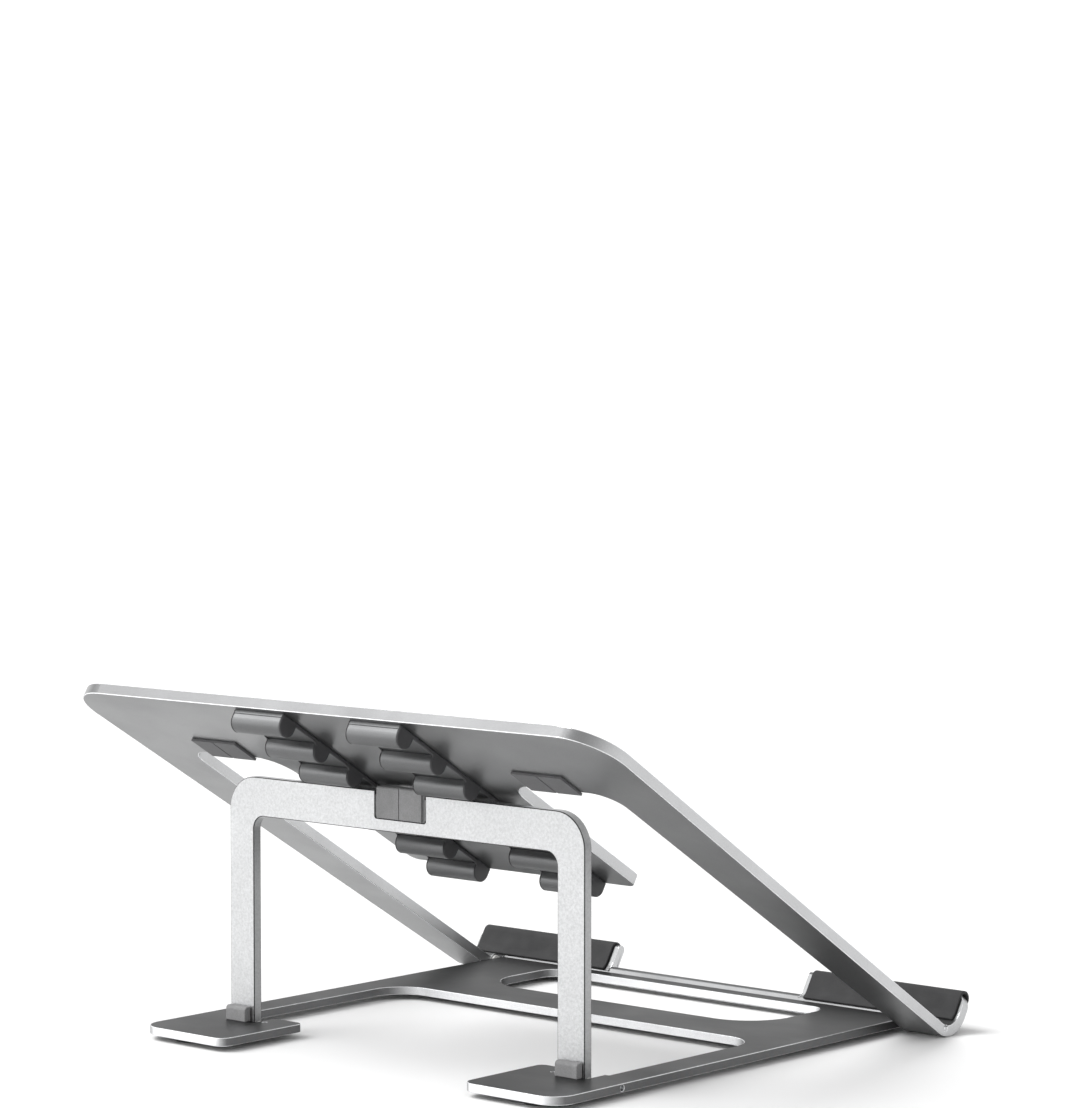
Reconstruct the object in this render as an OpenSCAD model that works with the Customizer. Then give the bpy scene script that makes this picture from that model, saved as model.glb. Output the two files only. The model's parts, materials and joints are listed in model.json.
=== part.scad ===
// Folding laptop stand: a low base frame, an upright support bracket hinged in it, and a
// tray hinged at the front whose notched rack drops over the bracket's crossbar.
// The base nests in the tray's opening and the bracket nests in the base's gap.
// Frame: +Z up, X from side to side, the user sits on the -Y side.

/* [Base] */
// Width of the base frame
base_w = 206; // [170:1:250]
// Thickness of the base plate
base_t = 3.2; // [3:0.1:4]
// Distance from the tray hinge to the rear edge of the base
base_rear = 199; // [180:1:235]
// How far the base reaches in front of the tray hinge
base_nose = 3.7; // [3:0.1:6]
// Width of each side arm of the base
arm_w = 12.8; // [10:0.2:15.4]
// Width of each rear pad of the base
pad_w = 44; // [36:1:48]
// Length of each rear pad, front to back
pad_l = 42; // [38:1:55]
// Corner radius at the outer rear corners of the base
pad_r = 9; // [3:0.5:12]
// Depth of the front bar behind the tray hinge
front_bar = 3; // [2.5:0.1:6]
// Depth of the window in the base, front to back
window_l = 44.5; // [30:0.5:50]
// Width of the window in the base
window_w = 139; // [100:1:150]
// Radius of the window's rear corners
window_r = 20; // [8:1:20]
// Height of the rubber feet
foot_h = 2; // [1.5:0.1:3]
// Diameter of the rubber feet
foot_d = 16; // [10:0.5:18]

/* [Bracket] */
// Distance from the rear edge of the base to the bracket's pin
pin_inset = 34; // [30:0.5:38]
// Height of the bracket above its pin
bracket_r = 93.8; // [78:0.1:113]
// Thickness of the bracket plate
bracket_t = 3.8; // [3.2:0.1:4.6]
// Width of each bracket leg
leg_w = 12.5; // [10:0.5:16]
// Height of the bracket's crossbar
bar_h = 14.6; // [13.5:0.1:18]
// Outer corner radius of the bracket
bracket_corner = 13; // [8:0.5:14]
// Side clearance between the bracket and the base's arms
bracket_gap = 2.65; // [1.5:0.05:4]
// Width of the rubber pad in the middle of the crossbar
bar_pad_w = 25; // [18:0.5:27]
// Height of the hinge stop bumpers above the base
bumper_h = 5.6; // [4:0.1:8]
// Diameter of the bracket pins
pin_d = 2; // [1.6:0.1:2.2]

/* [Tray] */
// Thickness of the tray plate
tray_t = 4.2; // [3.5:0.1:5.1]
// Width of each rail beside the tray's opening, at the front
rail_w = 17.8; // [14:0.2:22]
// How much wider the rails are at the rear
rail_flare = 8.5; // [0:0.5:12]
// Depth of the band behind the opening
band_w = 45.7; // [42:0.1:56]
// Corner radius at the tray's rear corners
tray_corner = 18; // [8:1:24]
// Side clearance between the tray's opening and the base
tray_gap = 1.2; // [1:0.1:2]
// Outer bend radius of the front lip
lip_r = 12; // [10:0.5:13]
// Height of the front lip above the tray's hinge
lip_h = 17; // [15:0.5:20]
// Width of the low middle stretch of the front lip
lip_low_w = 96; // [60:1:110]
// Diameter of the tray hinge pins
tray_pin_d = 2.2; // [1.8:0.1:2.4]

/* [Rack] */
// Spacing of the rack's rods
rack_pitch = 20; // [18:0.5:20.5]
// Number of rods in each column of the rack
rack_n = 7; // [5:1:7]
// Diameter of the rods
rod_d = 8; // [6.5:0.1:8.5]
// Length of each rack column, side to side
rack_l = 25; // [20:0.5:32]
// Distance from the centre line to each rack column
rack_in = 16; // [14:0.5:18]
// Gap between the crossbar and the underside of the tray
bar_gap = 3; // [2.6:0.1:4]

/* [Hidden] */

$fn = 48;
cut = 1;                  // how far a cutting shape runs past a face
side_gap = 0.95;          // gap between a leg and the walls of its notch
fold_gap = 0.4;           // radial gap around a foot that turns in its notch
fit_gap = 0.05;           // running clearance of a pin, per side
front_r = 8;              // radius of the window's front corners
bumper_l = 3;             // depth of a stop bumper
bumper_gap = 0.3;         // gap between a bumper and the leg that it stops
plug_l = 3;               // length of the plug over a tray pin
tray_pin_grip = 12;       // how deep a tray pin reaches into the base
grip_t = 1;               // how far a rubber grip stands proud
lip_gap = 0.55;           // gap between the base's nose and the lip, as the tray turns
desk_gap = 0.24;          // height of the lip's bend above the desk
foot_sink = 0.8;          // depth of a foot's seat in the base
bar_pad_drop = 10;        // depth of the notch that holds the crossbar's pad
bar_pad_top = 1.7;        // how far the crossbar's pad stands above the crossbar
bar_lap = 0.8;            // how far the folded crossbar reaches over the base's rear bar
strip_t = 1.4;            // thickness of the rack's backing strip
cheek_t = 0.6;            // thickness of the rack's end cheeks
rivet_d = 3;              // diameter of the rivets that hold the rack
rivet_head_t = 0.8;       // height of a rivet's head
rivet_sink = 0.2;         // how far a rivet ends below the top of the tray
boss_r = 3.2;             // radius of the tray's boss around its hinge pin
blind_l = 2;              // extra depth of a pin's hole beyond the pin
pin_sink = 1.2;           // how far a bracket pin ends inside the base's side
lock_d = 1.8;             // diameter of the screws that lock the bracket pins
lock_in = 2.6;            // distance from such a screw to the leg's notch
bumper_in = 1.6;          // how much narrower than its leg a bumper is, on the inner side
bumper_out = 0.6;         // and on the outer side
grip_hold = 6;            // depth of a rear grip's seat in the tray
grip_l = 13;              // length of a rear grip, front to back
grip_w = 23;              // width of a rear grip
grip_in = 1.5;            // how much narrower a rear grip's seat is, per side

base_half = base_w / 2;
axis_z = foot_h + base_t / 2;
pin_y = base_rear - pin_inset;
arm_x = base_half - arm_w;                 // inner edge of an arm
pad_x = base_half - pad_w;                 // inner edge of a rear pad
leg_x = arm_x - bracket_gap;               // outer edge of a leg
bar_y = pin_y - bracket_r + bar_lap;        // rear edge of the base's rear bar
window_y = front_bar;                      // front edge of the window

// The tray leans on the crossbar: its tilt follows from where the crossbar stands.
under = -3.4 * tray_t / 4.2;               // height of the tray's underside at the hinge
bar_rho = sqrt(pin_y * pin_y + bracket_r * bracket_r);
tilt = atan2(bracket_r, pin_y) + asin((bar_gap - under) / bar_rho);
bar_u = bar_rho * cos(tilt - atan2(bracket_r, pin_y));
rod_1 = bar_u + 2.5 * rack_pitch;          // the crossbar stands between rods 3 and 4
rod_w = under - 0.75 * rod_d / 2;          // height of the rods' axes
rod_n = rod_1 - (rack_n - 1) * rack_pitch;
open_half = base_half + tray_gap;
open_end = base_rear + 1.3;
tray_len = open_end + band_w;
rail_half = open_half + rail_w;
tongue_half = pad_x - 3;
bend_w = under + lip_r;
bend_u = (desk_gap - axis_z + lip_r - bend_w * cos(tilt)) / sin(tilt);
lip_in = bend_u - lip_r + tray_t;          // the lip's face towards the laptop
lip_cut = -(sqrt(base_nose * base_nose + base_t * base_t / 4) + lip_gap);
low_w = 5;                                 // height of the lip's low stretch
low_r = tray_t / 2 + 0.1;

low_u = bend_u - sqrt(pow(lip_r - tray_t / 2, 2) - pow(bend_w - low_w, 2));

foot_x = (window_w / 2 + base_half) / 2;
foot_front_y = window_y + window_l / 2;
foot_rear_y = base_rear - 11.5;
lock_x = leg_x - leg_w - side_gap - lock_in;
lock_base = axis_z + pin_d / 2;
flare_a = atan(rail_flare / (tray_len - bend_u));
rod_us = [for (i = [0 : rack_n - 1]) rod_1 - i * rack_pitch];
rivet_us = [rod_1 - rack_pitch / 2, rod_1 - (rack_n - 1.5) * rack_pitch];
rack_top = min(rod_1 + rod_d / 2, tray_len - 2);
tongue_end = rod_n - rod_d / 2;
grip_x0 = tongue_half + 12;
grip_x1 = min(grip_x0 + grip_w, open_half - 10);
hook_x0 = lip_low_w / 2 + 2.5;
hook_x1 = rail_half - 1.5;

// The origin is under the middle of the whole stand, on the desk.
front_end = (lip_in - tray_t / 2) * cos(tilt) - (lip_h - tray_t / 2) * sin(tilt) - tray_t / 2 - grip_t;
y_min = min(front_end, -base_nose);
y_max = tray_len * cos(tilt) - under * sin(tilt);
y_shift = -(y_min + y_max) / 2;

function half_at(u) = rail_half + rail_flare * (u - bend_u) / (tray_len - bend_u);

// Coordinates with the tray hinge at y = 0 and the desk at z = 0.
module on_desk() translate([0, y_shift, 0]) children();

// Tray coordinates: y runs up the slope from the hinge, z away from the desk.
module on_tray() on_desk() translate([0, 0, axis_z]) rotate([tilt, 0, 0]) children();

// The left side, seen by the user, is the -X side.
module mirrored(left) mirror([left ? 1 : 0, 0, 0]) children();

// A rod along +X whose axis passes through [y, z].
module rod_x(x0, x1, y, z, r) translate([x0, y, z]) rotate([0, 90, 0]) cylinder(r = r, h = x1 - x0);

// A profile drawn in the YZ plane, extruded along X.
module along_x(x0, x1) translate([x0, 0, 0]) rotate([90, 0, 90]) linear_extrude(x1 - x0) children();

// A rectangle from [x0, y0] to [x1, y1] with its own radius at each corner, anticlockwise
// from [x0, y0].
module round_rect(x0, y0, x1, y1, r) {
    difference() {
        translate([x0, y0]) square([x1 - x0, y1 - y0]);
        for (c = [[x0, y0, 1, 1, r[0]], [x1, y0, -1, 1, r[1]],
                  [x1, y1, -1, -1, r[2]], [x0, y1, 1, -1, r[3]]])
            if (c[4] > 0) translate([c[0], c[1]]) in_quadrant(c[2], c[3]) corner_waste(c[4]);
    }
}

// Turns a shape in the quadrant +X +Y into another quadrant.
module in_quadrant(sx, sy) mirror([sx < 0 ? 1 : 0, 0]) mirror([0, sy < 0 ? 1 : 0]) children();

// What is removed from a square corner at the origin to round it by r.
module corner_waste(r) difference() {
    translate([-cut, -cut]) square(r + cut);
    translate([r, r]) circle(r);
}

// What is added in an inside corner at the origin to fillet it by r.
module fillet(r) difference() {
    translate([-0.01, -0.01]) square(r + 0.01);
    translate([r, r]) circle(r);
}

// ---- base ----

module base_outline() difference() {
    round_rect(-base_half, -base_nose, base_half, base_rear, [1.5, 1.5, pad_r, pad_r]);
    // gap between the rear pads
    round_rect(-pad_x, base_rear - pad_l - cut, pad_x, base_rear + cut, [0, 0, 0, 0]);
    for (s = [0, 1]) mirror([s, 0]) translate([pad_x, base_rear]) mirror([0, 1]) corner_waste(5);
    // gap between the arms, where the folded bracket lies
    round_rect(-arm_x, bar_y, arm_x, base_rear - pad_l, [bracket_corner + 1, bracket_corner + 1, 0, 0]);
    for (s = [0, 1]) mirror([s, 0]) translate([pad_x, base_rear - pad_l]) corner_waste(3);
    // window in front of the rear bar
    round_rect(-window_w / 2, window_y, window_w / 2, window_y + window_l,
               [front_r, front_r, window_r, window_r]);
    // notches for the bracket's feet
    for (s = [0, 1]) mirror([s, 0])
        translate([leg_x - leg_w - side_gap, base_rear - pad_l - cut])
            square([leg_w + 2 * side_gap, pin_y + bracket_t / 2 + fold_gap - base_rear + pad_l + cut]);
}

module base_plate() color([0.62, 0.63, 0.64]) on_desk() difference() {
    translate([0, 0, foot_h]) linear_extrude(base_t) base_outline();
    for (s = [0, 1]) mirror([s, 0, 0]) {
        rod_x(pad_x + blind_l, base_half + cut, pin_y, axis_z, pin_d / 2);
        rod_x(base_half - tray_pin_grip - blind_l, base_half + cut, 0, axis_z, tray_pin_d / 2 + fit_gap);
        translate([lock_x, pin_y, axis_z]) cylinder(d = lock_d, h = base_t);
        for (y = [foot_front_y, foot_rear_y])
            translate([foot_x, y, foot_h - cut]) cylinder(d = foot_d, h = foot_sink + cut);
    }
}

module foot() rotate_extrude() {
    square([foot_d / 2 - 1, foot_h + foot_sink]);
    translate([0, 0.6]) square([foot_d / 2, foot_h + foot_sink - 0.6]);
}
module foot_at(left, y) color([0.16, 0.16, 0.17]) on_desk() mirrored(left) translate([foot_x, y, 0]) foot();
module foot_rear_left() foot_at(true, foot_rear_y);
module foot_rear_right() foot_at(false, foot_rear_y);
module foot_front_left() foot_at(true, foot_front_y);
module foot_front_right() foot_at(false, foot_front_y);

// Rubber block on the rear pad that the upright leg leans against.
module stop_bumper(left) color([0.42, 0.42, 0.43]) on_desk() mirrored(left) {
    y0 = pin_y + bracket_t / 2 + bumper_gap;
    top = foot_h + base_t + bumper_h;
    along_x(leg_x - leg_w + bumper_in, leg_x - bumper_out)
        round_rect(y0 + 0.1, foot_h + base_t, y0 + 0.1 + bumper_l, top, [0, 0, 1.4, 0.4]);
}
module stop_bumper_left() stop_bumper(true);
module stop_bumper_right() stop_bumper(false);

module bracket_pin(left) color([0.5, 0.5, 0.52]) on_desk() mirrored(left)
    rod_x(pad_x + blind_l, base_half - pin_sink, pin_y, axis_z, pin_d / 2);
module bracket_pin_left() bracket_pin(true);
module bracket_pin_right() bracket_pin(false);

// Thin washers that keep a leg centred in its notch.
module leg_washers(left) color([0.85, 0.85, 0.83]) on_desk() mirrored(left)
    for (x = [leg_x - leg_w - side_gap, leg_x + 0.15]) difference() {
        rod_x(x, x + side_gap - 0.15, pin_y, axis_z, bracket_t / 2 - 0.2);
        rod_x(x - cut, x + side_gap + cut, pin_y, axis_z, pin_d / 2);
    }
module leg_washers_left() leg_washers(true);
module leg_washers_right() leg_washers(false);

module pin_lock_screws() color([0.75, 0.75, 0.77]) on_desk()
    for (s = [0, 1]) mirror([s, 0, 0]) translate([lock_x, pin_y, lock_base]) difference() {
        cylinder(d = lock_d, h = foot_h + base_t - lock_base - 0.1);
        translate([0, 0, 0.2]) cylinder(d = 0.9, h = base_t, $fn = 6);
    }

// ---- bracket ----

module bracket_outline() difference() {
    round_rect(-leg_x, -bracket_t / 2, leg_x, bracket_r, [0, 0, bracket_corner, bracket_corner]);
    round_rect(-leg_x + leg_w, -bracket_t, leg_x - leg_w, bracket_r - bar_h, [0, 0, 5, 5]);
    round_rect(-bar_pad_w / 2, bracket_r - bar_pad_drop, bar_pad_w / 2, bracket_r + cut, [0.8, 0.8, 0, 0]);
}

module support_bracket() color([0.86, 0.87, 0.88]) on_desk() translate([0, pin_y, axis_z]) difference() {
    intersection() {
        rotate([90, 0, 0]) translate([0, 0, -bracket_t / 2]) linear_extrude(bracket_t) bracket_outline();
        // the feet are rounded about the pin
        along_x(-leg_x - cut, leg_x + cut) {
            circle(bracket_t / 2);
            translate([-bracket_t / 2, 0]) square([bracket_t, bracket_r + cut]);
        }
    }
    rod_x(-leg_x - cut, leg_x + cut, 0, 0, pin_d / 2 + fit_gap);
}

// Rubber pad in the crossbar's notch, proud of both faces and of the top.
module bracket_pad() color([0.42, 0.42, 0.43]) on_desk() translate([0, pin_y, axis_z]) {
    low = bracket_r - bar_pad_drop;
    inset = 0.8;                      // keeps clear of the notch's round corners
    proud = 0.7;
    core = bracket_t - 0.8;
    face_half = bar_pad_w / 2 - 1.5;
    split_w = 0.4;
    split_d = 0.4;
    translate([-bar_pad_w / 2 + inset, -core / 2, low]) cube([bar_pad_w - 2 * inset, core, bar_pad_drop]);
    translate([-bar_pad_w / 2, -core / 2, low + inset]) cube([bar_pad_w, core, bar_pad_drop - 3 * inset]);
    difference() {
        along_x(-face_half, face_half)
            round_rect(-bracket_t / 2 - proud, low + 0.3, bracket_t / 2 + proud, bracket_r + bar_pad_top,
                       [0, 0, 0.7, 0.7]);
        // upright split in the middle of each face
        for (y = [-bracket_t / 2 - proud - cut, bracket_t / 2 + proud - split_d])
            translate([-split_w / 2, y, low])
                cube([split_w, split_d + cut, bar_pad_drop + bar_pad_top + cut]);
    }
}

// ---- tray ----

module tray_outline() {
    cy = tray_len - tray_corner;
    cx = half_at(cy) - tray_corner / cos(flare_a);
    tx = cx + tray_corner * cos(flare_a);
    ty = cy - tray_corner * sin(flare_a);
    polygon([[-rail_half, bend_u], [rail_half, bend_u], [tx, ty], [cx, cy + tray_corner],
             [-cx, cy + tray_corner], [-tx, ty]]);
    for (s = [-1, 1]) translate([s * cx, cy]) circle(tray_corner, $fn = 96);
}

module opening_outline() difference() {
    round_rect(-open_half, lip_cut, open_half, open_end, [0, 0, 10, 10]);
    tongue_outline();
}

module tongue_outline() {
    round_rect(-tongue_half, tongue_end, tongue_half, open_end + cut, [4, 4, 0, 0]);
    for (s = [0, 1]) mirror([s, 0]) translate([tongue_half, open_end]) mirror([0, 1]) fillet(12);
}

// Side profile of the bend and the lip, in tray coordinates.
module lip_profile(top) {
    intersection() {
        translate([bend_u, bend_w]) difference() {
            circle(lip_r, $fn = 128);
            circle(lip_r - tray_t, $fn = 96);
        }
        translate([bend_u - lip_r - cut, bend_w - lip_r - cut]) square([lip_r + cut, lip_r + cut]);
    }
    translate([bend_u - lip_r, bend_w]) square([tray_t, max(top - bend_w, 0) + 0.001]);
}

module lip() difference() {
    union() {
        along_x(-rail_half, rail_half) lip_profile(lip_h - tray_t / 2);
        rod_x(-rail_half, rail_half, lip_in - tray_t / 2, lip_h - tray_t / 2, tray_t / 2);
    }
    // rounded upper outer corners
    for (s = [0, 1]) mirror([s, 0, 0]) translate([0, lip_in + cut, 0]) rotate([90, 0, 0])
        linear_extrude(tray_t + 2 * cut)
            translate([rail_half, lip_h]) mirror([1, 0]) mirror([0, 1]) corner_waste(6);
    // low middle stretch
    translate([-lip_low_w / 2, lip_in - tray_t - cut, low_w]) cube([lip_low_w, tray_t + 3 * cut, lip_h]);
}

// Round-topped bead along the low stretch of the lip.
module lip_bead() rod_x(-lip_low_w / 2, lip_low_w / 2, low_u, low_w, low_r);

module tray_plate() color([0.62, 0.63, 0.64]) on_tray() difference() {
    union() {
        translate([0, 0, under]) linear_extrude(tray_t) tray_outline();
        lip();
        lip_bead();
        for (s = [0, 1]) mirror([s, 0, 0]) rod_x(open_half, rail_half - 4, 0, 0, boss_r);
    }
    translate([0, 0, under - cut]) linear_extrude(bend_w - under + cut) opening_outline();
    for (s = [0, 1]) mirror([s, 0, 0]) {
        rod_x(open_half - cut, rail_half + cut, 0, 0, tray_pin_d / 2);
        // seat of the rear grip
        translate([grip_x0 + grip_in, open_end - cut, under - cut])
            cube([grip_x1 - grip_x0 - 2 * grip_in, grip_hold + cut, tray_t + 2 * cut]);
        for (u = rivet_us) translate([rack_in + rack_l / 2, u, under - cut])
            cylinder(d = rivet_d, h = tray_t + 2 * cut);
    }
}

module tray_pin(left) color([0.5, 0.5, 0.52]) on_tray() mirrored(left)
    rod_x(base_half - tray_pin_grip, rail_half - plug_l, 0, 0, tray_pin_d / 2);
module tray_pin_left() tray_pin(true);
module tray_pin_right() tray_pin(false);

module tray_pin_plug(left) color([0.62, 0.63, 0.64]) on_tray() mirrored(left)
    rod_x(rail_half - plug_l, rail_half, 0, 0, tray_pin_d / 2);
module tray_pin_plug_left() tray_pin_plug(true);
module tray_pin_plug_right() tray_pin_plug(false);

module tray_washer(left) color([0.85, 0.85, 0.83]) on_tray() mirrored(left) difference() {
    rod_x(base_half + 0.2, open_half, 0, 0, base_t / 2 + 0.9);
    rod_x(base_half, open_half + cut, 0, 0, tray_pin_d / 2);
}
module tray_washer_left() tray_washer(true);
module tray_washer_right() tray_washer(false);

// ---- rack ----

// Side profile of a rack cheek: a disc at each rod and a ramp up to the next one.
module cheek_profile() intersection() {
    union() {
        translate([rod_n - rod_d / 2, under - strip_t]) square([rack_top - rod_n + rod_d / 2, strip_t]);
        for (u = rod_us) {
            translate([u, rod_w]) circle(rod_d / 2);
            translate([u - rod_d / 2, rod_w]) square([rod_d, under - rod_w]);
            if (u < rod_1 - 1)
                polygon([[u, under], [u, rod_w + 0.5], [u + rod_d, under - strip_t], [u + rod_d, under]]);
        }
    }
    translate([rod_n - rod_d / 2, under - 2 * rod_d]) square([rack_top - rod_n + rod_d / 2, 2 * rod_d]);
}

// Backing strip under the rods.
module rack_strip(left) color([0.2, 0.2, 0.21]) on_tray() mirrored(left) difference() {
    translate([rack_in + cheek_t, rod_n - rod_d / 2, under - strip_t])
        cube([rack_l - 2 * cheek_t, rack_top - rod_n + rod_d / 2, strip_t]);
    for (u = rivet_us) translate([rack_in + rack_l / 2, u, under - strip_t - cut])
        cylinder(d = rivet_d, h = strip_t + 2 * cut);
}
module rack_strip_left() rack_strip(true);
module rack_strip_right() rack_strip(false);

// The two thin end cheeks of a rack.
module rack_cheeks(left) color([0.2, 0.2, 0.21]) on_tray() mirrored(left)
    for (x = [rack_in, rack_in + rack_l - cheek_t]) along_x(x, x + cheek_t) cheek_profile();
module rack_cheeks_left() rack_cheeks(true);
module rack_cheeks_right() rack_cheeks(false);

// Rods between the cheeks, each flattened where it sits on the backing strip.
module rack_rods(left) color([0.6, 0.6, 0.61]) on_tray() mirrored(left) for (u = rod_us)
    intersection() {
        union() {
            rod_x(rack_in + cheek_t, rack_in + rack_l - cheek_t, u, rod_w, rod_d / 2);
            translate([rack_in + cheek_t, u - rod_d / 2, rod_w])
                cube([rack_l - 2 * cheek_t, rod_d, under - strip_t - rod_w]);
        }
        translate([rack_in, u - rod_d, rod_w - rod_d])
            cube([rack_l, 2 * rod_d, under - strip_t - rod_w + rod_d]);
    }
module rack_rods_left() rack_rods(true);
module rack_rods_right() rack_rods(false);

module rack_rivets(left) color([0.7, 0.7, 0.72]) on_tray() mirrored(left)
    for (u = rivet_us) translate([rack_in + rack_l / 2, u, under - strip_t]) {
        cylinder(d = rivet_d, h = strip_t + tray_t - rivet_sink);
        translate([0, 0, -rivet_head_t]) cylinder(d = rivet_d + 2, h = rivet_head_t);
    }
module rack_rivets_left() rack_rivets(true);
module rack_rivets_right() rack_rivets(false);

// ---- rubber grips on the tray ----

module rear_grip(left) color([0.3, 0.3, 0.31]) on_tray() mirrored(left) {
    proud = 0.6;
    u0 = open_end - proud;
    translate([grip_x0 + grip_in, u0, under])
        cube([grip_x1 - grip_x0 - 2 * grip_in, grip_hold + proud, tray_t]);
    difference() {
        for (w = [under - grip_t, under + tray_t])
            translate([grip_x0, u0, w]) cube([grip_x1 - grip_x0, grip_l, grip_t]);
        // shallow groove along the middle of the underside
        translate([(grip_x0 + grip_x1) / 2, u0 - cut, under - grip_t - cut])
            cube([0.6, grip_l + 2 * cut, cut + 0.3]);
    }
}
module rear_grip_left() rear_grip(true);
module rear_grip_right() rear_grip(false);

module rail_grip(left) color([0.3, 0.3, 0.31]) on_tray() mirrored(left)
    translate([open_half, 0, under + tray_t]) linear_extrude(grip_t)
        round_rect(4, 24, rail_w - 3, 84, [3, 3, 3, 3]);
module rail_grip_left() rail_grip(true);
module rail_grip_right() rail_grip(false);

// Rubber cover that is pushed over a hook of the lip.
module front_grip(left) color([0.13, 0.13, 0.14]) on_tray() mirrored(left) difference() {
    union() {
        along_x(hook_x0, hook_x1) {
            intersection() {
                translate([bend_u, bend_w]) difference() {
                    circle(lip_r + grip_t, $fn = 128);
                    circle(lip_r - tray_t - grip_t, $fn = 96);
                }
                // from 60 degrees round the bend up to the lip
                translate([bend_u, bend_w]) polygon([[0, 0], [-40, 0], [-40, -40 / tan(60)]]);
            }
            translate([bend_u - lip_r - grip_t, bend_w])
                square([tray_t + 2 * grip_t, lip_h - tray_t / 2 - bend_w]);
        }
        rod_x(hook_x0, hook_x1, lip_in - tray_t / 2, lip_h - tray_t / 2, tray_t / 2 + grip_t);
    }
    along_x(hook_x0 - cut, hook_x1 + cut) lip_profile(lip_h - tray_t / 2);
    rod_x(hook_x0 - cut, hook_x1 + cut, lip_in - tray_t / 2, lip_h - tray_t / 2, tray_t / 2);
}
module front_grip_left() front_grip(true);
module front_grip_right() front_grip(false);

base_plate();
foot_rear_left();
foot_rear_right();
foot_front_left();
foot_front_right();
stop_bumper_left();
stop_bumper_right();
bracket_pin_left();
bracket_pin_right();
leg_washers_left();
leg_washers_right();
pin_lock_screws();
support_bracket();
bracket_pad();
tray_plate();
tray_pin_left();
tray_pin_right();
tray_pin_plug_left();
tray_pin_plug_right();
tray_washer_left();
tray_washer_right();
rack_strip_left();
rack_strip_right();
rack_cheeks_left();
rack_cheeks_right();
rack_rods_left();
rack_rods_right();
rack_rivets_left();
rack_rivets_right();
rear_grip_left();
rear_grip_right();
rail_grip_left();
rail_grip_right();
front_grip_left();
front_grip_right();
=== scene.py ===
"""Looks of a folding laptop stand: bevelled sheet metal, dark racks with metal rods, rubber grips.

The shapes are the frame's own; this script rounds their edges and gives them materials, a floor and light.
"""
import json
import math

import bpy
from mathutils import Matrix, Vector


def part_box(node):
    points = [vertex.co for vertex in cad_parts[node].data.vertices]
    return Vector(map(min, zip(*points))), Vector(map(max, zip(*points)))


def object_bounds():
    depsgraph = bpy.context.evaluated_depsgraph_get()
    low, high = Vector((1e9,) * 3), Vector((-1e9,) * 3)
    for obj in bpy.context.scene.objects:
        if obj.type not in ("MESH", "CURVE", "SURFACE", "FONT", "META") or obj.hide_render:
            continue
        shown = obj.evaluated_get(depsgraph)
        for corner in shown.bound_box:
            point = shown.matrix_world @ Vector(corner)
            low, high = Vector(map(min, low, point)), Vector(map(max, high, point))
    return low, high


MM = 0.001
UP = (0, 0, 1)
BACK = (0, 1, 0)

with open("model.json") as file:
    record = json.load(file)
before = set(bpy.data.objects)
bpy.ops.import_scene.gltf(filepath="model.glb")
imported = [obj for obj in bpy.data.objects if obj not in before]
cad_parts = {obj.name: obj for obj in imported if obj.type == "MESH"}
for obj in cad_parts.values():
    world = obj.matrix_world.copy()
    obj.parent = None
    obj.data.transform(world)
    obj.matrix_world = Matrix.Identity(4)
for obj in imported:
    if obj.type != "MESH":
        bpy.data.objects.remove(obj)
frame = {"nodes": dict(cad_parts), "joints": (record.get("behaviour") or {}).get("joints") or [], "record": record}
cad_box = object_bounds()
nodes = frame["nodes"]

# ---- places, from the frame ----

desk = cad_box[0][2]
base_low, base_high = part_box("base_plate")
base_rear = base_high[1]
base_bottom = base_low[2]


# ---- camera ----

LENS = 124.1                               # focal length in mm on a 36 mm sensor
SIDE = -938.87 * MM                        # the camera's X, to the left of the stand's middle
BEHIND = 961.25 * MM                       # how far it is behind the base's rear edge
ABOVE = 265.23 * MM                        # and above the base's underside
FORWARD = Vector((0.65840, -0.75018, -0.06116))
RIGHT = FORWARD.cross(Vector(UP)).normalized()     # level


def make_camera():
    """A long lens, low behind the stand's left side."""
    data = bpy.data.cameras.new("camera")
    data.sensor_width = 36.0
    data.lens = LENS
    data.clip_end = 50.0
    camera = bpy.data.objects.new("camera", data)
    turn = Matrix((RIGHT, RIGHT.cross(FORWARD), -FORWARD)).transposed().to_4x4()
    place = Vector((SIDE, base_rear + BEHIND, base_bottom + ABOVE))
    camera.matrix_world = Matrix.Translation(place) @ turn
    bpy.context.scene.collection.objects.link(camera)
    bpy.context.scene.camera = camera


# ---- materials ----

RANGE_SOCKETS = ("From Min", "From Max", "To Min", "To Max")


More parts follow.
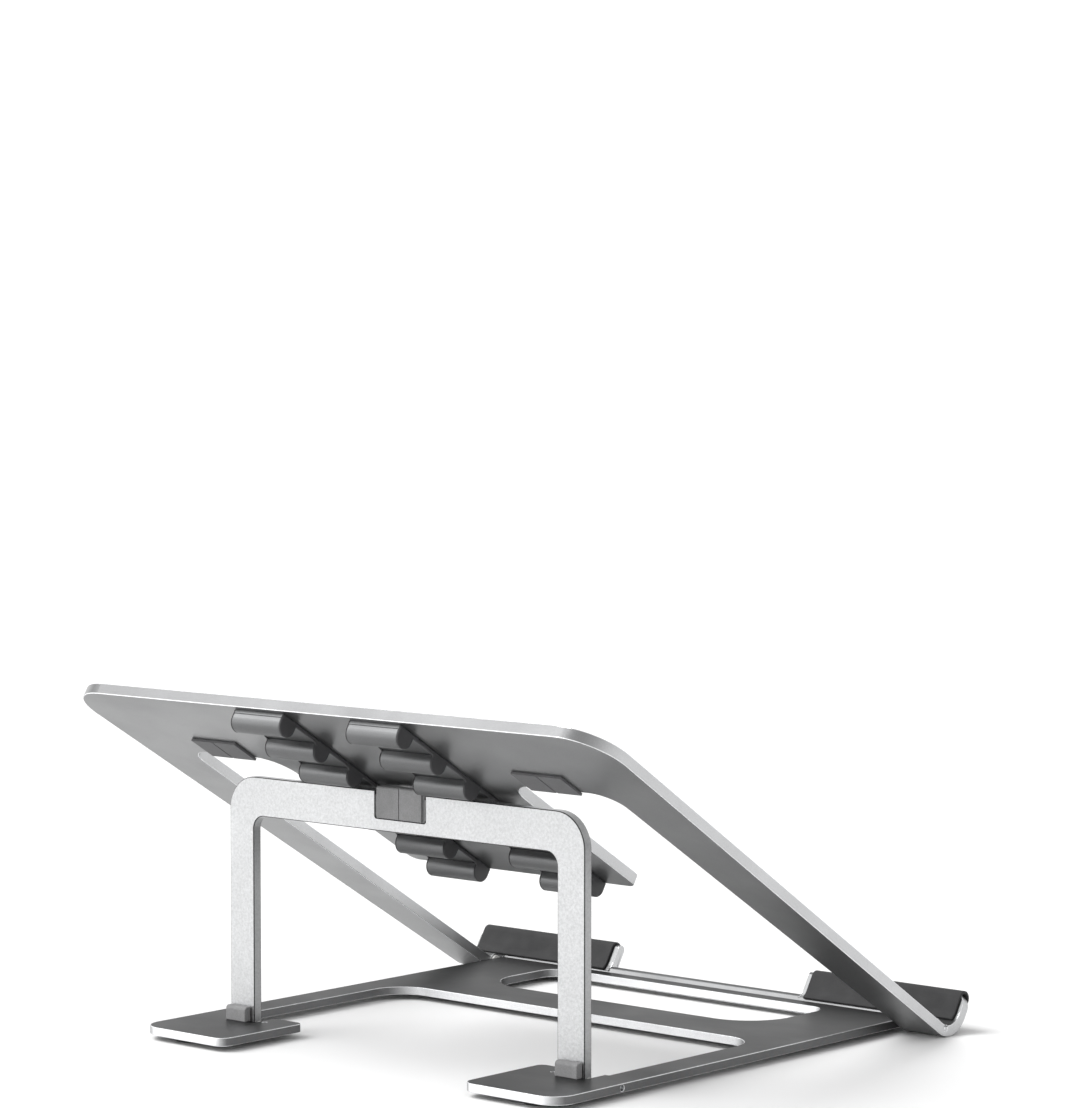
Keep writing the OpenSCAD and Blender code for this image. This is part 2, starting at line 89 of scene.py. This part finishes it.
class Shader:
    """A Principled material with object coordinates and a few helpers for its node tree."""

    def __init__(self, name, color, metallic, roughness, **sockets):
        self.material = bpy.data.materials.new(name)
        self.material.use_nodes = True
        self.tree = self.material.node_tree
        self.surface = self.tree.nodes["Principled BSDF"]
        self.color = color
        self.set("Base Color", (*color, 1.0))
        self.set("Metallic", metallic)
        self.set("Roughness", roughness)
        for key, value in sockets.items():
            self.set(key.replace("_", " "), value)
        self.coords = self.tree.nodes.new("ShaderNodeTexCoord").outputs["Object"]

    def set(self, socket, value):
        self.surface.inputs[socket].default_value = value

    def link(self, output, target):
        self.tree.links.new(output, target)

    def stretched(self, scale):
        """Object coordinates scaled along each axis."""
        mapping = self.tree.nodes.new("ShaderNodeMapping")
        mapping.inputs["Scale"].default_value = scale
        self.link(self.coords, mapping.inputs["Vector"])
        return mapping.outputs["Vector"]

    def noise(self, size, detail=2.0, stretch=(1, 1, 1)):
        """Noise whose features are about size metres across."""
        node = self.tree.nodes.new("ShaderNodeTexNoise")
        node.inputs["Scale"].default_value = 1.0 / size
        node.inputs["Detail"].default_value = detail
        self.link(self.stretched(stretch), node.inputs["Vector"])
        return node.outputs["Fac"]

    def spread(self, value, low, high, out_low, out_high):
        """Maps value from [low, high] to [out_low, out_high]."""
        node = self.tree.nodes.new("ShaderNodeMapRange")
        for socket, number in zip(RANGE_SOCKETS, (low, high, out_low, out_high)):
            node.inputs[socket].default_value = number
        self.link(value, node.inputs["Value"])
        return node.outputs["Result"]

    def times(self, a, b):
        node = self.tree.nodes.new("ShaderNodeMath")
        node.operation = "MULTIPLY"
        self.link(a, node.inputs[0])
        self.link(b, node.inputs[1])
        return node.outputs[0]

    def share(self, direction):
        """How squarely the surface faces along direction or against it, from 0 to 1, in object space."""
        normal = self.coords.node.outputs["Normal"]
        dot = self.tree.nodes.new("ShaderNodeVectorMath")
        dot.operation = "DOT_PRODUCT"
        dot.inputs[1].default_value = direction
        self.link(normal, dot.inputs[0])
        size = self.tree.nodes.new("ShaderNodeMath")
        size.operation = "ABSOLUTE"
        self.link(dot.outputs["Value"], size.inputs[0])
        return size.outputs[0]

    def painted_wall_shading(self, face, side, end):
        """Painted light and shade: a factor for a sheet's colour, 1 on its faces, which look along the direction
        face or against it, side on the walls that look along X, and end on its other walls, so walls are painted
        lighter or darker by which way they look."""
        painted_wall_tone = self.spread(self.share((1, 0, 0)), 0.2, 0.9, end, side)
        mix = self.tree.nodes.new("ShaderNodeMix")
        mix.inputs["B"].default_value = 1.0
        self.link(self.spread(self.share(face), 0.4, 0.8, 0.0, 1.0), mix.inputs["Factor"])
        self.link(painted_wall_tone, mix.inputs["A"])
        return mix.outputs["Result"]

    def tint(self, factor):
        """The base colour multiplied by factor."""
        node = self.tree.nodes.new("ShaderNodeVectorMath")
        node.operation = "SCALE"
        node.inputs[0].default_value = self.color
        self.link(factor, node.inputs["Scale"])
        self.link(node.outputs["Vector"], self.surface.inputs["Base Color"])

    def roughen(self, value):
        self.link(value, self.surface.inputs["Roughness"])

    def bump(self, height, distance, strength=1.0):
        node = self.tree.nodes.new("ShaderNodeBump")
        node.inputs["Distance"].default_value = distance
        node.inputs["Strength"].default_value = strength
        self.link(height, node.inputs["Height"])
        self.link(node.outputs["Normal"], self.surface.inputs["Normal"])


def satin_metal(name, color, roughness=0.36, painted_wall_shading=None, grazing=1.0):
    """Anodised sheet: fine etched grain, cloudy sheen and a few handling smudges.

    The fourth argument holds what the painted wall-shading method of Shader takes, painted light and shade on the
    sheet's walls; grazing below 1 dulls the sheet at flat angles.
    """
    shader = Shader(name, color, 1.0, roughness, Specular_Tint=(grazing, grazing, grazing, 1.0))
    grain = shader.noise(0.35 * MM, 1.0)
    clouds = shader.noise(28 * MM, 3.0)
    grain_tone = shader.spread(grain, 0.3, 0.7, 0.94, 1.06)
    tone = shader.times(grain_tone, shader.spread(clouds, 0.3, 0.7, 0.95, 1.05))
    # painted light and shade: the walls are made lighter or darker by which way they look
    if painted_wall_shading:
        tone = shader.times(tone, shader.painted_wall_shading(*painted_wall_shading))
    shader.tint(tone)
    smudges = shader.noise(45 * MM, 4.0, (1, 1.6, 1))
    shader.roughen(shader.spread(smudges, 0.35, 0.75, roughness - 0.04, roughness + 0.08))
    shader.bump(grain, 0.012 * MM, 0.5)
    return shader.material


def blasted_metal(name, color, painted_wall_shading):
    """Bead-blasted silver: a coarse sparkle of bright and dull grains.

    The third argument holds what the painted wall-shading method of Shader takes: painted light and shade on the
    walls.
    """
    shader = Shader(name, color, 1.0, 0.42)
    coarse = shader.noise(1.0 * MM, 3.0)
    fine = shader.noise(0.3 * MM, 1.0)
    clouds = shader.noise(30 * MM, 2.0)
    fine_tone = shader.spread(fine, 0.3, 0.7, 0.93, 1.06)
    sparkle = shader.times(shader.spread(coarse, 0.32, 0.68, 0.87, 1.08), fine_tone)
    tone = shader.times(sparkle, shader.spread(clouds, 0.3, 0.7, 0.97, 1.03))
    # the tone times painted light and shade on the walls, by which way they look
    shader.tint(shader.times(tone, shader.painted_wall_shading(*painted_wall_shading)))
    shader.roughen(shader.spread(coarse, 0.3, 0.7, 0.36, 0.52))
    shader.bump(coarse, 0.03 * MM, 0.6)
    return shader.material


def cut_metal(name, color, roughness=0.2):
    """Machined edge with fine tool lines and small nicks."""
    shader = Shader(name, color, 1.0, roughness)
    lines = shader.noise(0.25 * MM, 2.0, (0.05, 0.05, 1))
    nicks = shader.noise(2.2 * MM, 3.0)
    shader.tint(shader.spread(nicks, 0.28, 0.6, 0.82, 1.0))
    shader.roughen(shader.spread(lines, 0.3, 0.7, roughness - 0.05, roughness + 0.1))
    shader.bump(lines, 0.006 * MM, 0.5)
    return shader.material


def turned_metal(name, color, roughness):
    """Drawn or turned rod: tool marks run round it, so they are packed along X."""
    shader = Shader(name, color, 1.0, roughness)
    rings = shader.noise(0.5 * MM, 2.0, (1, 0.04, 0.04))
    clouds = shader.noise(9 * MM, 3.0)
    cloud_tone = shader.spread(clouds, 0.3, 0.7, 0.92, 1.04)
    shader.tint(shader.times(shader.spread(rings, 0.3, 0.7, 0.93, 1.05), cloud_tone))
    shader.roughen(shader.spread(rings, 0.3, 0.7, roughness - 0.05, roughness + 0.1))
    shader.bump(rings, 0.01 * MM, 0.6)
    return shader.material


def rubber(name, color, roughness=0.72):
    """Moulded silicone: soft mottling, a fine matt skin and some dust."""
    shader = Shader(name, color, 0.0, roughness, Specular_IOR_Level=0.35, Sheen_Weight=0.08)
    skin = shader.noise(0.45 * MM, 2.0)
    dust = shader.noise(6 * MM, 4.0)
    dust_tone = shader.spread(dust, 0.35, 0.75, 0.92, 1.15)
    shader.tint(shader.times(shader.spread(skin, 0.3, 0.7, 0.9, 1.1), dust_tone))
    shader.roughen(shader.spread(dust, 0.3, 0.7, roughness - 0.06, roughness + 0.08))
    shader.bump(skin, 0.03 * MM, 0.6)
    return shader.material


def nylon(name, color, roughness=0.5):
    """Moulded nylon: faint spark-eroded texture with slightly glossier high spots."""
    shader = Shader(name, color, 0.0, roughness, Specular_IOR_Level=0.45)
    texture = shader.noise(0.6 * MM, 3.0)
    flow = shader.noise(12 * MM, 2.0, (0.3, 1, 1))
    flow_tone = shader.spread(flow, 0.3, 0.7, 0.93, 1.08)
    shader.tint(shader.times(shader.spread(texture, 0.3, 0.7, 0.9, 1.12), flow_tone))
    shader.roughen(shader.spread(texture, 0.3, 0.7, roughness - 0.08, roughness + 0.1))
    shader.bump(texture, 0.03 * MM, 0.7)
    return shader.material


# The tray's faces look along TRAY_UP: it rises from its hinge to about the box's rear top edge.
hinge = next(joint["pos_m"] for joint in frame["joints"] if joint["name"] == "tray_lift")
tilt = math.atan2(cad_box[1][2] - hinge[2], cad_box[1][1] - hinge[1])
TRAY_UP = (0, -math.sin(tilt), math.cos(tilt))

MATERIALS = {
    # In each triple after the colours, the last two numbers are painted light and shade: how much lighter or
    # darker than the faces the walls that look along X are, then the other walls
    "base_metal": satin_metal("base_satin", (0.15, 0.151, 0.153), 0.38, painted_wall_shading=(UP, 0.95, 5.5), grazing=0.64),
    "tray_metal": satin_metal("tray_satin", (0.235, 0.237, 0.24), 0.36, painted_wall_shading=(TRAY_UP, 2.2, 0.6)),
    "bracket_metal": blasted_metal("bracket_blasted", (0.56, 0.565, 0.57), painted_wall_shading=(BACK, 0.75, 1.1)),
    "rod_metal": satin_metal("rod_satin", (0.15, 0.152, 0.154), 0.42),
    "pin_steel": turned_metal("pin_turned", (0.42, 0.43, 0.44), 0.3),
    "rack_dark": nylon("rack_nylon", (0.04, 0.04, 0.042)),
    "washer_nylon": nylon("washer_nylon", (0.62, 0.62, 0.6)),
    "grey_rubber": rubber("pad_rubber", (0.21, 0.21, 0.212)),
    "grip_rubber": rubber("grip_rubber", (0.085, 0.085, 0.088)),
    "lip_rubber": rubber("lip_rubber", (0.022, 0.022, 0.023)),
    "foot_rubber": rubber("foot_rubber", (0.03, 0.03, 0.031), 0.8),
}
BRIGHT_EDGE = cut_metal("bright_edge", (0.80, 0.81, 0.82))
# Painted shade: the bracket's bevels are near-black metal, standing in for the dark lines of shade along its edges
PAINTED_SHADE_EDGE = cut_metal("bracket_edge_painted_shade", (0.06, 0.06, 0.061), 0.3)

# Each slot's bevel: its width in mm, its segments, and its material if it has one of its own.
EDGES = {
    "base_metal": (0.22, 2, BRIGHT_EDGE),
    "tray_metal": (0.25, 2, BRIGHT_EDGE),
    "bracket_metal": (0.32, 2, PAINTED_SHADE_EDGE),
    "rod_metal": (0.25, 2, None),
    "pin_steel": (0.12, 1, None),
    "rack_dark": (0.3, 2, None),
    "washer_nylon": (0.1, 1, None),
    "grey_rubber": (0.4, 3, None),
    "grip_rubber": (0.3, 3, None),
    "lip_rubber": (0.35, 3, None),
    "foot_rubber": (0.5, 3, None),
}
SHARP = math.radians(38)                   # edges at least this sharp are bevelled
FLAT = math.radians(0.6)                   # neighbours this close in direction are one face
SAME_POINT = 0.001 * MM


def dress(node, slot):
    """Gives a node its material and rounds its edges with modifiers."""
    piece = nodes[node]
    width, segments, edge = EDGES[slot]
    mesh = piece.data
    mesh.materials.clear()
    mesh.materials.append(MATERIALS[slot])
    if edge:
        mesh.materials.append(edge)
    weld = piece.modifiers.new("weld", "WELD")
    weld.merge_threshold = SAME_POINT
    flat = piece.modifiers.new("flat", "DECIMATE")
    flat.decimate_type = "DISSOLVE"
    flat.angle_limit = FLAT
    bevel = piece.modifiers.new("bevel", "BEVEL")
    bevel.width = width * MM
    bevel.segments = segments
    bevel.limit_method = "ANGLE"
    bevel.angle_limit = SHARP
    bevel.use_clamp_overlap = edge is None             # clamped, a sheet's bevel doesn't show
    bevel.miter_outer = "MITER_ARC"
    if edge:
        bevel.material = 1
    shade = piece.modifiers.new("shade", "WEIGHTED_NORMAL")
    shade.keep_sharp = True


def dress_all():
    for row in frame["record"]["subparts"]:
        dress(row["node"], row["material_slot"])


# ---- stage ----

FLOOR_HALF = 14.0                          # half the floor's side, in metres


def make_stage():
    """A plain pale floor at the height of the desk."""
    mesh = bpy.data.meshes.new("floor")
    signs = ((-1, -1), (1, -1), (1, 1), (-1, 1))
    mesh.from_pydata([(x * FLOOR_HALF, y * FLOOR_HALF, desk) for x, y in signs], [], [(0, 1, 2, 3)])
    floor = bpy.data.objects.new("floor", mesh)
    bpy.context.scene.collection.objects.link(floor)
    shader = Shader("floor_paint", (0.93, 0.93, 0.93), 0.0, 0.7, Specular_IOR_Level=0.15)
    shader.tint(shader.spread(shader.noise(0.4, 2.0), 0.3, 0.7, 0.985, 1.0))
    mesh.materials.append(shader.material)


# ---- light ----

HORIZON = 1.1                              # brightness of the studio's walls
SKY_TOP = 0.55                             # and of its ceiling
BRIGHT_SIDE = (0.66, 0.75, 0.0)            # where the brightest wall is
BRIGHT = 2.3                               # and how much brighter it is
KEY = 2.15                                 # the key light's strength
KEY_FROM = Vector((0.6, 0.45, 0.9))
KEY_SPREAD = math.radians(40)


def make_sky():
    """White studio walls, brighter on one side, under a dimmer ceiling."""
    world = bpy.data.worlds.new("world")
    bpy.context.scene.world = world
    world.use_nodes = True
    tree = world.node_tree
    coords = tree.nodes.new("ShaderNodeTexCoord").outputs["Generated"]

    def along(direction, low, high, out_low, out_high):
        """Grows from out_low to out_high as a ray's share along direction grows from low to high."""
        dot = tree.nodes.new("ShaderNodeVectorMath")
        dot.operation = "DOT_PRODUCT"
        dot.inputs[1].default_value = direction
        tree.links.new(coords, dot.inputs[0])
        ramp = tree.nodes.new("ShaderNodeMapRange")
        ramp.interpolation_type = "SMOOTHSTEP"
        for socket, number in zip(RANGE_SOCKETS, (low, high, out_low, out_high)):
            ramp.inputs[socket].default_value = number
        tree.links.new(dot.outputs["Value"], ramp.inputs["Value"])
        return ramp.outputs["Result"]

    strength = tree.nodes.new("ShaderNodeMath")
    strength.operation = "MULTIPLY"
    tree.links.new(along(UP, 0.1, 0.7, HORIZON, SKY_TOP), strength.inputs[0])
    tree.links.new(along(BRIGHT_SIDE, 0.2, 0.95, 1.0, BRIGHT), strength.inputs[1])
    sky = tree.nodes["Background"].inputs
    sky["Color"].default_value = (1.0, 1.0, 1.0, 1.0)
    tree.links.new(strength.outputs[0], sky["Strength"])


def make_key():
    """One broad, soft lamp from above, behind and the user's right."""
    data = bpy.data.lights.new("key", "SUN")
    data.energy = KEY
    data.angle = KEY_SPREAD
    key = bpy.data.objects.new("key", data)
    key.rotation_euler = KEY_FROM.to_track_quat("Z", "Y").to_euler()
    bpy.context.scene.collection.objects.link(key)


make_camera()
dress_all()
make_stage()
make_sky()
make_key()
bpy.context.scene.view_settings.view_transform = "Standard"
